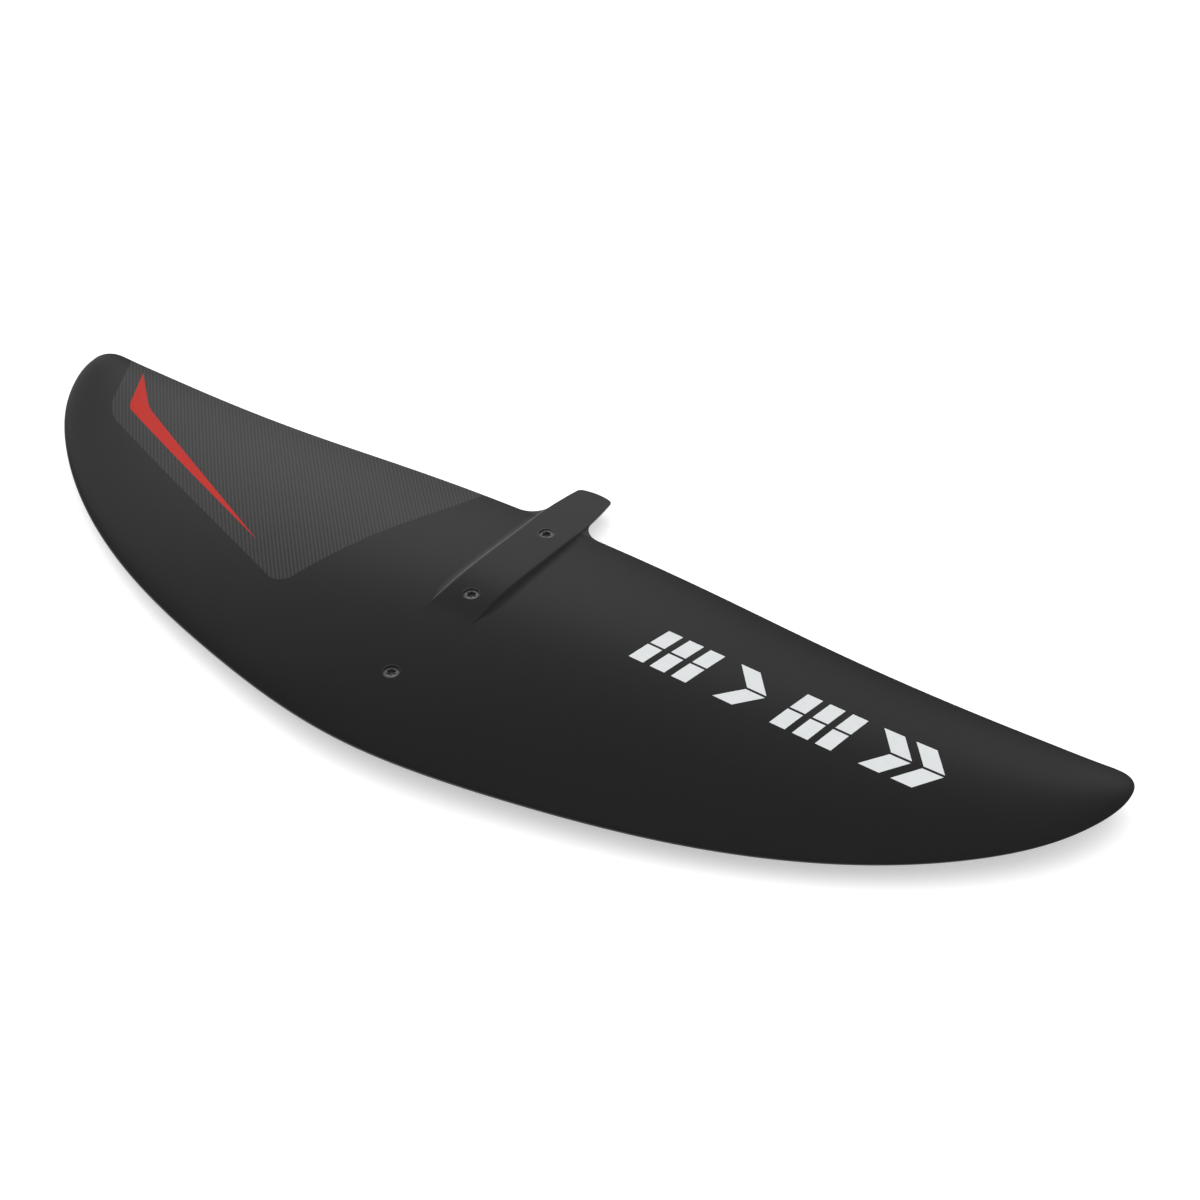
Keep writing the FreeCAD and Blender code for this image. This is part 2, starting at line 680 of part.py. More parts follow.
accent_outline = [
    line_edge((-305, 65.8), (-287, 37.3)),
    Part.Arc(Vector(-287, 37.3, 0), Vector(-283.3, 33.2, 0), Vector(-277, 30, 0)).toShape(),
    line_edge((-277, 30), (-129, -24.3)),
    line_edge((-129, -24.3), (-270, 37.9)),
    Part.Arc(Vector(-270, 37.9, 0), Vector(-274.7, 40.5, 0), Vector(-279, 43.7, 0)).toShape(),
    line_edge((-279, 43.7), (-305, 65.8)),
]
accent_prism = edge_prism(accent_outline)


def bar(left, right, low, high, lean):
    """Flat bar along the span whose two ends slant by lean."""
    return prism([(left, low), (right, low), (right + lean, high),
                  (left + lean, high)])


def slashes(left):
    """Three upright slanted bars, each parted by a slit."""
    tools = []
    for index in range(3):
        start = left + 12.5 * index
        tools.append(bar(start, start + 8.5, 7.5, 21.7, 2.8))
        tools.append(bar(start + 3.2, start + 11.7, 23.3, 37.5, 2.8))
    return tools


def chevron(x, lean):
    """Two slanted bars that meet in a point aimed along the span."""
    return [bar(x, x + 11.0, 7.5, 21.7, lean),
            bar(x + lean, x + lean + 11.0, 23.3, 37.5, -lean)]


marks = {
    "mark_bars_inner": slashes(93),
    "mark_arrow_inner": chevron(142, 11.0),
    "mark_bars_outer": slashes(174),
    "mark_arrow_outer": chevron(222, 10.0) + chevron(239, 10.0),
}

accent = inlay(accent_prism)
patch = inlay(patch_prism.cut(accent_prism))
mark_shapes = {name: Part.makeCompound([inlay(tool) for tool in tools])
               for name, tools in marks.items()}
upper_skin = cut_all(upper_skin, [inlay(patch_prism)] + list(mark_shapes.values()))

plate_shape = cut_all(plate_blank, bolt_holes)

# ---------------------------------------------------------------------------
# Named parts
# ---------------------------------------------------------------------------
shapes = {
    "upper_skin": upper_skin,
    "lower_skin": lower_skin,
    "centre_block": block,
    "seat_plate": plate_shape,
    "core_front_right": core_front,
    "core_rear_right": core_rear,
    "spar_cap_top_right": spar_cap_top,
    "spar_cap_low_right": spar_cap_low,
    "shear_web_right": shear_web,
    "tip_block_right": tip_block,
    "surface_ply": patch,
    "colour_accent": accent,
}
for name in [n for n in shapes if n.endswith("_right")]:
    shapes[name.replace("_right", "_left")] = mirrored(shapes[name])
shapes.update(mark_shapes)
for place in SCREWS:
    shapes["sleeve_" + place] = sleeve_shapes[place]
    shapes["screw_" + place] = screw_bodies[place].Shape.copy()


def add_part(label, shape):
    """One document object and one STEP file for each physical piece."""
    solids = [solid for solid in shape.Solids if solid.Volume > 1.0]
    body = solids[0] if len(solids) == 1 else Part.makeCompound(solids)
    part = doc.addObject("Part::Feature", label)
    part.Label = label
    part.Shape = body
    box = body.BoundBox
    print("%-22s solids %d valid %s volume %9.1f" % (
        label, len(solids), body.isValid(), body.Volume),
        "x %7.1f..%6.1f y %7.1f..%6.1f z %6.1f..%5.1f" % (
        box.XMin, box.XMax, box.YMin, box.YMax, box.ZMin, box.ZMax))
    if body.isNull() or not body.isValid():
        raise RuntimeError("%s is not a valid shape" % label)
    body.exportStep("parts/%s.step" % label)
    return part


for label in sorted(shapes):
    add_part(label, shapes[label])

doc.recompute()
for item in doc.Objects:
    if "Invalid" in item.State or "Error" in item.State:
        raise RuntimeError("%s is in state %s" % (item.Name, item.State))
print("parts", len(shapes), "whole wing volume", round(wing.Volume), wing.isValid())
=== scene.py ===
import bpy
import bmesh
import math
import numpy as np
from mathutils import Matrix, Vector
from mathutils.geometry import delaunay_2d_cdt


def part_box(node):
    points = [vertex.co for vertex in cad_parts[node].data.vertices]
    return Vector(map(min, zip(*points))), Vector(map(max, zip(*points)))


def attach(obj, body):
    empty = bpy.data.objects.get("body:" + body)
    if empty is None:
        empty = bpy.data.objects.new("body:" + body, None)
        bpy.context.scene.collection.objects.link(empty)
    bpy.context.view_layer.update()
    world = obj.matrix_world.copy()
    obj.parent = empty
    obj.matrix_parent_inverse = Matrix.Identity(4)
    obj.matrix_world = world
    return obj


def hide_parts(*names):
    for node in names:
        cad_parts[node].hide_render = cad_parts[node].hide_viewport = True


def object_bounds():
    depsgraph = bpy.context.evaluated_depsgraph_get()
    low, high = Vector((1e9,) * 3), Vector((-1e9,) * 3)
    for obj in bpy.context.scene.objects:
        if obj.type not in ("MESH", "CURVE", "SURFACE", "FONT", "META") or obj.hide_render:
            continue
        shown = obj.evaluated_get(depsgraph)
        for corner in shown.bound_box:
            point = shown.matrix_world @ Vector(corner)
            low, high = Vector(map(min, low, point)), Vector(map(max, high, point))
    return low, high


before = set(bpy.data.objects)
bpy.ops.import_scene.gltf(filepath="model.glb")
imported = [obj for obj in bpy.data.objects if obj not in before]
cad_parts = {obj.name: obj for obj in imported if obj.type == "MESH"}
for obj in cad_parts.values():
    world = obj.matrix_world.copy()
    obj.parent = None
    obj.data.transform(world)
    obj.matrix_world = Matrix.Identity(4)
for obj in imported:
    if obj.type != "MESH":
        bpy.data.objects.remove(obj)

# The imported model's box; its lowest point sets the floor.
CAD_BOUNDS = [list(corner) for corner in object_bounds()]

MM = 0.001
BODY = "wing"
GAP = 0.02              # hairline clearance, and the least width or height
TINY = 1e-6             # keeps a division away from zero

# ---------------------------------------------------------------------------
# Wing surface, from the same driving dimensions as the CAD part (millimetres).
# LEAD and TRAIL are the edges at each span angle of ANGLES.  Their values are the rounded
# result of an outline fit.
# ---------------------------------------------------------------------------
HALF_SPAN = 339.5
REACH = max(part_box("upper_skin")[1].x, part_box("lower_skin")[1].x) / MM - GAP
CHORD_HEIGHT = 7.5
GULL_DROP = 18.5
GULL_RISE = 22.0
ANGLES = [0.0, 15.0, 30.0, 45.0, 60.0, 70.0, 78.0, 90.0]
LEAD = [-113.0, -101.5, -79.0, -48.0, -11.5, 13.5, 33.5, 58.5]
TRAIL = [82.0, 80.5, 76.5, 74.5, 73.0, 71.5, 70.0, 58.5]
TOP_SHAPE = (0.11, 0.10, 0.20, 0.05)
BELLY_SHAPE = (0.11, 0.092, 0.088, 0.08)
TRAIL_HALF = 0.4
SKIN = 1.5


class Spline:
    """Smooth curve through points: cubic pieces with matching bends."""

    def __init__(self, xs, ys):
        self.x = np.array(xs, float)
        self.y = np.array(ys, float)
        n = len(xs)
        h = np.diff(self.x)
        slope = np.diff(self.y) / h
        system = np.zeros((n, n))
        right = np.zeros(n)
        for i in range(1, n - 1):
            system[i, i - 1:i + 2] = h[i - 1], 2 * (h[i - 1] + h[i]), h[i]
            right[i] = 6 * (slope[i] - slope[i - 1])
        first = slope[0] - h[0] * (slope[1] - slope[0]) / (h[0] + h[1])
        last = slope[-1] + h[-1] * (slope[-1] - slope[-2]) / (h[-1] + h[-2])
        system[0, :2] = 2 * h[0], h[0]
        right[0] = 6 * (slope[0] - first)
        system[-1, -2:] = h[-1], 2 * h[-1]
        right[-1] = 6 * (last - slope[-1])
        self.bend = np.linalg.solve(system, right)

    def __call__(self, value):
        value = np.asarray(value, float)
        i = np.clip(np.searchsorted(self.x, value) - 1, 0, len(self.x) - 2)
        h = self.x[i + 1] - self.x[i]
        a = (self.x[i + 1] - value) / h
        b = (value - self.x[i]) / h
        curve = (a ** 3 - a) * self.bend[i] + (b ** 3 - b) * self.bend[i + 1]
        return a * self.y[i] + b * self.y[i + 1] + curve * h * h / 6


def both_sides(values):
    """Curve over the whole span from the values of one half."""
    angles = [-a for a in ANGLES[:0:-1]] + ANGLES
    return Spline(angles, values[:0:-1] + values)


lead_curve = both_sides(LEAD)
trail_curve = both_sides(TRAIL)


def edges_at(x):
    """Leading and trailing edge at a place along the span."""
    angle = np.degrees(np.arcsin(np.clip(np.asarray(x) / HALF_SPAN, -1, 1)))
    return lead_curve(angle), trail_curve(angle)


def mid_height(x):
    """Height of the chord line: the gull-like droop of each half."""
    ratio = np.asarray(x) / HALF_SPAN
    return CHORD_HEIGHT - GULL_DROP * ratio ** 2 + GULL_RISE * ratio ** 4


def fullness(s, shape):
    """Section shape factor at chord place s, from nose to trailing edge."""
    r = 1.0 - s
    return (shape[0] * r ** 3 + 3 * shape[1] * s * r ** 2
            + 3 * shape[2] * s ** 2 * r + shape[3] * s ** 3)


def rise_at(x, s, shape):
    """Half thickness above or below the middle surface at chord place s."""
    lead, trail = edges_at(x)
    root = np.sqrt(s)
    return root * (1 - s) * fullness(s, shape) * (trail - lead) + root * s * TRAIL_HALF


def surface_height(x, y):
    """Height of the printed face."""
    lead, trail = edges_at(x)
    s = np.clip((y - lead) / np.maximum(trail - lead, TINY), 0, 1)
    return mid_height(x) + rise_at(x, s, TOP_SHAPE)


# ---------------------------------------------------------------------------
# Mesh helpers
# ---------------------------------------------------------------------------
CREASE = 35.0           # degrees between faces that makes an edge sharp
WELD = 1e-7             # metres
DEGENERATE = 1e-8       # metres
HOLE_SIDES = 96


def new_object(name, verts, faces, crease=CREASE):
    """Object from points in millimetres, smooth except at sharp edges."""
    mesh = bpy.data.meshes.new(name)
    mesh.from_pydata([tuple(float(c) * MM for c in v) for v in verts], [],
                     [tuple(int(i) for i in f) for f in faces])
    obj = bpy.data.objects.new(name, mesh)
    bpy.context.scene.collection.objects.link(obj)
    clean(obj, crease)
    return obj


def clean(obj, crease):
    """Weld doubles, point normals outwards and mark the sharp edges."""
    bm = bmesh.new()
    bm.from_mesh(obj.data)
    bmesh.ops.remove_doubles(bm, verts=bm.verts, dist=WELD)
    bmesh.ops.dissolve_degenerate(bm, dist=DEGENERATE, edges=bm.edges)
    bmesh.ops.recalc_face_normals(bm, faces=bm.faces)
    for face in bm.faces:
        face.smooth = True
    limit = math.radians(crease)
    for edge in bm.edges:
        if len(edge.link_faces) == 2:
            edge.smooth = edge.calc_face_angle(0.0) < limit
    bm.to_mesh(obj.data)
    bm.free()
    obj.data.update()


def joined(name, objects):
    """One object from several, in order."""
    bm = bmesh.new()
    for obj in objects:
        bm.from_mesh(obj.data)
    mesh = bpy.data.meshes.new(name)
    bm.to_mesh(mesh)
    bm.free()
    for obj in objects:
        bpy.data.objects.remove(obj)
    obj = bpy.data.objects.new(name, mesh)
    bpy.context.scene.collection.objects.link(obj)
    return obj


def drill(obj, holes, crease=CREASE):
    """Cut upright round holes: (x, y, radius, low, high) in millimetres."""
    cutters = []
    count = HOLE_SIDES
    for x, y, radius, low, high in holes:
        ring = [(x + radius * math.cos(2 * math.pi * i / count),
                 y + radius * math.sin(2 * math.pi * i / count))
                for i in range(count)]
        verts = [(a, b, low) for a, b in ring] + [(a, b, high) for a, b in ring]
        faces = [tuple(range(count))[::-1], tuple(range(count, 2 * count))]
        faces += [(i, (i + 1) % count, count + (i + 1) % count, count + i)
                  for i in range(count)]
        cutters.append(new_object("cutter", verts, faces))
    for cutter in cutters:
        mod = obj.modifiers.new("hole", "BOOLEAN")
        mod.operation = "DIFFERENCE"
        mod.solver = "EXACT"
        mod.object = cutter
    depsgraph = bpy.context.evaluated_depsgraph_get()
    mesh = bpy.data.meshes.new_from_object(obj.evaluated_get(depsgraph))
    obj.modifiers.clear()
    obj.data = mesh
    for cutter in cutters:
        bpy.data.objects.remove(cutter)
    clean(obj, crease)


def grid_faces(rows, columns, start=0, flip=False):
    """Quads of a rows by columns grid of points."""
    faces = []
    for i in range(rows - 1):
        for j in range(columns - 1):
            a = start + i * columns + j
            quad = (a, a + 1, a + columns + 1, a + columns)
            faces.append(quad[::-1] if flip else quad)
    return faces


# ---------------------------------------------------------------------------
# Skins
# ---------------------------------------------------------------------------
SPAN_STEPS = 301
CHORD_STEPS = 81
LAST_ANGLE = 89.2       # span angle of the outermost stations, in degrees
stations = REACH * np.sin(np.radians(np.linspace(-LAST_ANGLE, LAST_ANGLE, SPAN_STEPS)))
stations *= REACH / stations[-1]
turns = np.linspace(0.0, math.pi, CHORD_STEPS)


def skin(name, shape, sign):
    """Closed laminate: the smooth outside and the inside a skin away."""
    s = np.cos(turns / 2) ** 2
    outside, inside = [], []
    for x in stations:
        lead, trail = edges_at(x * HALF_SPAN / REACH)
        rise = rise_at(x * HALF_SPAN / REACH, s, shape)
        mid = mid_height(x)
        y = lead + s * (trail - lead)
        inner = np.maximum(0.0, rise - SKIN)
        for k in range(CHORD_STEPS):
            outside.append((x, y[k], mid + sign * rise[k]))
            inside.append((x, y[k], mid + sign * inner[k]))
    verts = outside + inside
    count = len(outside)
    faces = grid_faces(SPAN_STEPS, CHORD_STEPS)
    faces += grid_faces(SPAN_STEPS, CHORD_STEPS, count, True)
    for i in range(SPAN_STEPS - 1):
        a, b = i * CHORD_STEPS, (i + 1) * CHORD_STEPS
        faces.append((a, b, count + b, count + a))
        a, b = a + CHORD_STEPS - 1, b + CHORD_STEPS - 1
        faces.append((b, a, count + a, count + b))
    for row in (0, SPAN_STEPS - 1):
        for k in range(CHORD_STEPS - 1):
            a = row * CHORD_STEPS + k
            faces.append((a, a + 1, count + a + 1, count + a))
    return new_object(name, verts, faces)


# ---------------------------------------------------------------------------
# Ridge and tongue
# ---------------------------------------------------------------------------
RIDGE_HALF = 14.5       # half width of the flat top
FLARE = 5.5             # width of the hollow flank
FILLET = 12.5           # plan radius between trailing edge and tongue
TAIL_HALF = 11.6        # half width where the tongue's corner starts
TAIL_END = 122.4
TAIL_TOP = 3.1
TAIL_EDGE = 1.0         # upright edge of the tongue's end
ROOT_EDGE = 6.8         # foot of that edge where the taper starts
RIDGE_SLOPE = 0.132
RIDGE_FRONT = -38.0
TAPER_FROM = 86.0
TAPER_STRAIGHT = 0.38   # straight part of the taper; the rest is curved
BEVEL_PAST = 1.0        # the bevel's line is aimed this far past the end
CORNER_FROM = TAIL_END - 4.9
TONGUE_ROOT = 64.0      # from here aft the body reaches down to the seat plate
FLAT_FROM = 60.0        # from here aft the top is flat across
SEAT_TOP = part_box("seat_plate")[1].z / MM + GAP
CREST = [(-40.0, 15.2), (-14.0, 16.95), (4.0, 17.25), (20.0, 16.3)]
CREST += [(y, TAIL_TOP + RIDGE_SLOPE * (TAIL_END - y))
          for y in (40.0, 70.0, 95.0, TAIL_END)]
crest_height = Spline([y for y, z in CREST], [z for y, z in CREST])
BESIDE = 20.0           # span place of the trailing edge beside the ridge
TRAIL_BESIDE = float(edges_at(BESIDE)[1])
TRAIL_TOP = float(surface_height(BESIDE, TRAIL_BESIDE))

BLEND = 0.34            # how softly the crest comes out of the wing
BLEND_SINK = 0.045      # takes off a part of what the softening adds
FOOT_SINK = 0.04        # foot of the flank, below the wing's surface
FOOT_FALL = 0.105       # fall of the fillet's foot behind the trailing edge
FOOT_BELOW_TOP = 0.3
FULL_FLANK = 1.2        # crest height over the wing that gives the full hollow
FILLET_LEAD = 2.1       # where the fillet starts ahead of the trailing edge
TONGUE_FLANK = 0.3      # hollow that is left along the tongue
SHOULDER = 1.5          # width of the rounded edge of the top
SHOULDER_PULL = 0.1
WAIST = (0.35, 0.4, 0.38)       # out, most of the width, down
HOLLOW = (1.03, 0.8, 0.95)      # the same for the hollow's control point
CORNER_IN = 3.9         # how far the tongue's corner narrows it
CORNER_RUN = 3.65       # length of that corner
EDGE_RUN = 0.43         # length and drop of the rounded end edge
EDGE_DROP = 0.4
END_BOW = 0.8           # curve of the tongue's end in plan
LIP = 0.7               # thickness of the flank's foot at the trailing edge
LIP_MORE = 0.9          # extra ahead of LIP_FROM, gone at the trailing edge
LIP_FROM = 50.0
UNDERCUT = 0.2
ROW_GAP = 0.1
PAST_FILLET = 0.6       # first station behind the fillet
TOP_STEPS = 12
SHOULDER_STEPS = 8
FLANK_STEPS = 14
RIDGE_CREASE = 30.0


def ease(value):
    """Smooth step from 0 to 1."""
    value = min(1.0, max(0.0, value))
    return value * value * (3 - 2 * value)


def ridge_half_at(y):
    """Half width of the ridge, which narrows along the tongue."""
    ratio = min(1.0, max(0.0, (y - TAPER_FROM) / (CORNER_FROM - TAPER_FROM)))
    drawn = TAPER_STRAIGHT * ratio + (1 - TAPER_STRAIGHT) * ratio ** 2
    return RIDGE_HALF + (TAIL_HALF - RIDGE_HALF) * drawn


def bevel_height(y):
    """Where the upright edge of the tongue turns into its bevelled underside."""
    ratio = max(0.0, (y - TAPER_FROM) / (TAIL_END + BEVEL_PAST - TAPER_FROM))
    return ROOT_EDGE + (TAIL_TOP - TAIL_EDGE - ROOT_EDGE) * ratio


def curve_through(start, control, end, count):
    """Points of a round stretch that leaves and arrives along its control point."""
    points = []
    for k in range(1, count + 1):
        t = k / count
        r = 1 - t
        points.append(tuple(r * r * a + 2 * r * t * b + t * t * c
                            for a, b, c in zip(start, control, end)))
    return points


def top_height(x, y):
    """Ridge crest, eased into the wing where the two come together."""
    wing_top = float(surface_height(x, y))
    rise = float(crest_height(y)) - wing_top
    return wing_top + (rise + math.hypot(rise, BLEND)) / 2 - BLEND_SINK


def flank_foot(y, wall, top):
    """Width, foot height and strength of the hollow flank at one place."""
    behind = y - TRAIL_BESIDE
    if behind <= 0.0:
        strength = ease((top - float(surface_height(wall + FLARE, y))) / FULL_FLANK)
        start = max(0.0, 1 + behind / FILLET_LEAD)
        width = max(GAP, FLARE * strength + (FILLET - FLARE) * start)
        return width, float(surface_height(wall + width, y)) - FOOT_SINK, strength
    past = 1 - min(1.0, behind / FILLET)
    width = GAP + FILLET * (1 - math.sqrt(1 - past ** 2))
    foot = min(TRAIL_TOP - FOOT_SINK - FOOT_FALL * behind, top - FOOT_BELOW_TOP)
    return width, foot, TONGUE_FLANK + (1 - TONGUE_FLANK) * past


def ridge_section(y, turn=0.0, drop=0.0):
    """Half of a cross-section, from the middle of the top to the bottom."""
    wall = ridge_half_at(y) - CORNER_IN * (1 - math.cos(turn)) - drop
    crest = float(crest_height(y)) - drop
    width, foot, strength = flank_foot(y, wall, crest)
    reach = wall - SHOULDER * strength
    places = [reach * k / TOP_STEPS for k in range(TOP_STEPS + 1)]
    tops = [crest if y > FLAT_FROM else top_height(x, y) for x in places]
    top = tops[-1]
    height = max(GAP, top - foot)
    waist, hollow = [(wall + min(out * strength, most * width), top - down * height)
                     for out, most, down in (WAIST, HOLLOW)]
    points = list(zip(places, tops))
    points += curve_through(points[-1], (wall - SHOULDER_PULL * strength, top), waist,
                            SHOULDER_STEPS)
    points += curve_through(waist, hollow, (wall + width, foot), FLANK_STEPS)
    tongue = y > TONGUE_ROOT
    thick = LIP + LIP_MORE * (1 - ease((y - LIP_FROM) / (TRAIL_BESIDE - LIP_FROM)))
    edge = bevel_height(y) if tongue else foot - thick - UNDERCUT
    low = max(foot - thick, edge + ROW_GAP / 2)
    base = SEAT_TOP if tongue else edge - UNDERCUT
    points += [(wall + width, low), (wall, low), (wall, edge),
               (wall - (edge - base), base), (0.0, base)]
    return points


def ridge_rows():
    """Stations along the ridge: place, corner turn and edge drop."""
    quarter = math.pi / 2
    places = list(np.linspace(RIDGE_FRONT, TONGUE_ROOT - ROW_GAP / 2, 150))
    places += list(np.linspace(TONGUE_ROOT + ROW_GAP / 2,
                               TRAIL_BESIDE - (FILLET_LEAD + ROW_GAP), 24))
    places += [TRAIL_BESIDE - FILLET_LEAD + FILLET_LEAD * k / 12.0 for k in range(13)]
    places += [TRAIL_BESIDE + FILLET * (1 - math.cos(quarter * k / 30.0))
               for k in range(2, 31)]
    places += list(np.linspace(TRAIL_BESIDE + FILLET + PAST_FILLET, CORNER_FROM, 36))
    rows = [(y, 0.0, 0.0) for y in places]
    for k in range(1, 13):
        turn = quarter * k / 12.0
        rows.append((CORNER_FROM + CORNER_RUN * math.sin(turn), turn, 0.0))
    for k in range(1, 6):
        turn = quarter * k / 5.0
        rows.append((CORNER_FROM + CORNER_RUN + EDGE_RUN * math.sin(turn), quarter,
                     EDGE_DROP * (1 - math.cos(turn))))
    return rows


def ridge():
    """Closed body of the ridge, running out into the tongue."""
    verts = []
    rows = ridge_rows()
    for y, turn, drop in rows:
        half = ridge_section(y, turn, drop)
        loop = half + [(-x, z) for x, z in half[-2:0:-1]]
        widest = max(x for x, z in half)
        for x, z in loop:
            bow = END_BOW * math.sin(turn) * (1 - (x / widest) ** 2)
            verts.append((x, y + bow, z))
    ring = len(loop)
    faces = []
    for i in range(len(rows) - 1):
        for j in range(ring):
            a, b = i * ring + j, i * ring + (j + 1) % ring
            faces.append((a, b, b + ring, a + ring))
    faces.append(tuple(range(ring)))
    last = (len(rows) - 1) * ring
    faces.append(tuple(range(last + ring - 1, last - 1, -1)))
    return new_object("ridge", verts, faces, RIDGE_CREASE)


SCREW_Y = {"front": -68.0, "middle": 0.0, "rear": 70.0}
RIM_RADIUS = 4.58       # holes in the printed face, just over the sleeves' rims
TUBE_RADIUS = 4.0       # holes in the seat face, over the sleeves' tubes

upper = skin("upper_part", TOP_SHAPE, 1)
drill(upper, [(0, y, RIM_RADIUS, 4, 40) for y in SCREW_Y.values()])
ridge_piece = ridge()
drill(ridge_piece, [(0, SCREW_Y["middle"], RIM_RADIUS, -5, 40),
                    (0, SCREW_Y["rear"], RIM_RADIUS, 1, 40)], RIDGE_CREASE)
upper_shell = joined("upper_shell", [upper, ridge_piece])
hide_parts("upper_skin")
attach(upper_shell, BODY)

lower_shell = skin("lower_shell", BELLY_SHAPE, -1)
drill(lower_shell, [(0, y, TUBE_RADIUS, -20, 30) for y in SCREW_Y.values()])
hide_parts("lower_skin")
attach(lower_shell, BODY)

# ---------------------------------------------------------------------------
# Surface ply, stripe and marks: thin closed inlays that follow the skin
# ---------------------------------------------------------------------------
DEPTH = 0.2             # how far an inlay reaches into the skin
PLY_LIFT = 0.02         # how far each kind stands above it
PRINT_LIFT = 0.03
PAINT_LIFT = 0.045
CELL = 4.0              # spacing of the points inside an outline
RUN_STEP = 2.0          # spacing along its straight runs
TRAIL_INSET = 0.35      # how far the ply stops short of the trailing edge
TRAIL_STEPS = 90


def sampled(points):
    """Closed outline with extra points along its straight runs."""
    out = []
    for (xa, ya), (xb, yb) in zip(points, points[1:] + points[:1]):
        count = max(1, int(math.hypot(xb - xa, yb - ya) / RUN_STEP))
        out += [(xa + (xb - xa) * i / count, ya + (yb - ya) * i / count)
                for i in range(count)]
    return out


def arc_through(start, middle, end, count=14):
    """Round stretch through three points."""
    (ax, ay), (bx, by), (cx, cy) = start, middle, end
    d = 2 * (ax * (by - cy) + bx * (cy - ay) + cx * (ay - by))
    ux = ((ax ** 2 + ay ** 2) * (by - cy) + (bx ** 2 + by ** 2) * (cy - ay)
          + (cx ** 2 + cy ** 2) * (ay - by)) / d
    uy = ((ax ** 2 + ay ** 2) * (cx - bx) + (bx ** 2 + by ** 2) * (ax - cx)
          + (cx ** 2 + cy ** 2) * (bx - ax)) / d
    radius = math.hypot(ax - ux, ay - uy)
    first = math.atan2(ay - uy, ax - ux)
    last = math.atan2(cy - uy, cx - ux)
    sweep = (last - first + math.pi) % (2 * math.pi) - math.pi
    return [(ux + radius * math.cos(first + sweep * i / count),
             uy + radius * math.sin(first + sweep * i / count))
            for i in range(count + 1)]


def bend_through(points, count=24):
    """Smooth stretch through several points."""
    gaps = [0.0]
    for (xa, ya), (xb, yb) in zip(points, points[1:]):
        gaps.append(gaps[-1] + math.hypot(xb - xa, yb - ya))
    along_x = Spline(gaps, [p[0] for p in points])
    along_y = Spline(gaps, [p[1] for p in points])
    return [(float(along_x(gaps[-1] * i / count)), float(along_y(gaps[-1] * i / count)))
            for i in range(count + 1)]


def inside(x, y, loop):
    """Whether a point lies within a closed outline."""
    hit = False
    for (xa, ya), (xb, yb) in zip(loop, loop[1:] + loop[:1]):
        if (ya > y) != (yb > y) and x < (xb - xa) * (y - ya) / (yb - ya) + xa:
            hit = not hit
    return hit


def points_within(outline):
    """Even grid of points inside an outline, clear of its rim."""
    rim = np.array(outline)
    left, low = rim.min(axis=0)
    right, high = rim.max(axis=0)
    kept = []
    for i in range(1, int((right - left) / CELL) + 1):
        for j in range(1, int((high - low) / CELL) + 1):
            x, y = float(left + i * CELL), float(low + j * CELL)
            if not inside(x, y, outline):
                continue
            if np.min(np.hypot(rim[:, 0] - x, rim[:, 1] - y)) > 0.5 * CELL:
                kept.append((x, y))
    return kept


def drop_loose(obj):
    """Remove the points that no face uses."""
    bm = bmesh.new()
    bm.from_mesh(obj.data)
    loose = [v for v in bm.verts if not v.link_faces]
    bmesh.ops.delete(bm, geom=loose, context="VERTS")
    bm.to_mesh(obj.data)
    bm.free()


def inlay(name, loops, lift):
    """Closed thin sheet over each outline, following the printed face."""
    parts = []
    for loop in loops:
        outline = sampled(loop)
        edges = [(i, (i + 1) % len(outline)) for i in range(len(outline))]
        points = [Vector(v) for v in outline + points_within(outline)]
        made = delaunay_2d_cdt(points, edges, [], 1, TINY)
        flat, tris = made[0], made[2]
        kept = []
        for tri in tris:
            cx = sum(flat[i].x for i in tri) / 3
            cy = sum(flat[i].y for i in tri) / 3
            if inside(cx, cy, outline):
                kept.append(tuple(tri))
        height = surface_height(np.array([p.x for p in flat]),
                                np.array([p.y for p in flat]))
        top = [(p.x, p.y, h + lift) for p, h in zip(flat, height)]
        low = [(p.x, p.y, h - DEPTH) for p, h in zip(flat, height)]
        count = len(top)
        faces = kept + [tuple(i + count for i in tri[::-1]) for tri in kept]
        sides = [side for tri in kept for side in zip(tri, tri[1:] + tri[:1])]
        used = set(sides)
        faces += [(b, a, a + count, b + count) for a, b in sides if (b, a) not in used]
        parts.append(new_object(name + "_part", top + low, faces))
    for part in parts:
        drop_loose(part)
    return joined(name, parts)


def trail_run(start, end):
    """Points just ahead of the trailing edge between two span places."""
    xs = np.linspace(start, end, TRAIL_STEPS)
    return [(float(x), float(edges_at(x)[1]) - TRAIL_INSET) for x in xs]


accent_loop = ([(-305, 65.8)]
               + arc_through((-287, 37.3), (-283.3, 33.2), (-277, 30))
               + [(-129, -24.3)]
               + arc_through((-270, 37.9), (-274.7, 40.5), (-279, 43.7)))
patch_loop = (trail_run(-51.2, -320.3)
              + arc_through((-298, 34), (-290, 24.5), (-280, 18))
              + arc_through((-103, -44.3), (-95.5, -44.4), (-90.5, -39))
              + bend_through([(-90.5, -39), (-81.5, -3), (-69.3, 35), (-62, 54.5),
                              (-51.2, 81.2)])[1:-1])


LOW_ROW = (7.5, 21.7)   # chordwise reach of the lower and upper half of a mark
HIGH_ROW = (23.3, 37.5)
BAR_WIDTH = 8.5
BAR_PITCH = 12.5
BAR_LEAN = 2.8
BAR_SHIFT = 3.2         # upper half of a bar, along its lean
ARROW_WIDTH = 11.0


def bar(left, width, row, lean):
    """Flat bar along the span whose two ends slant by lean."""
    low, high = row
    return [(left, low), (left + width, low),
            (left + width + lean, high), (left + lean, high)]


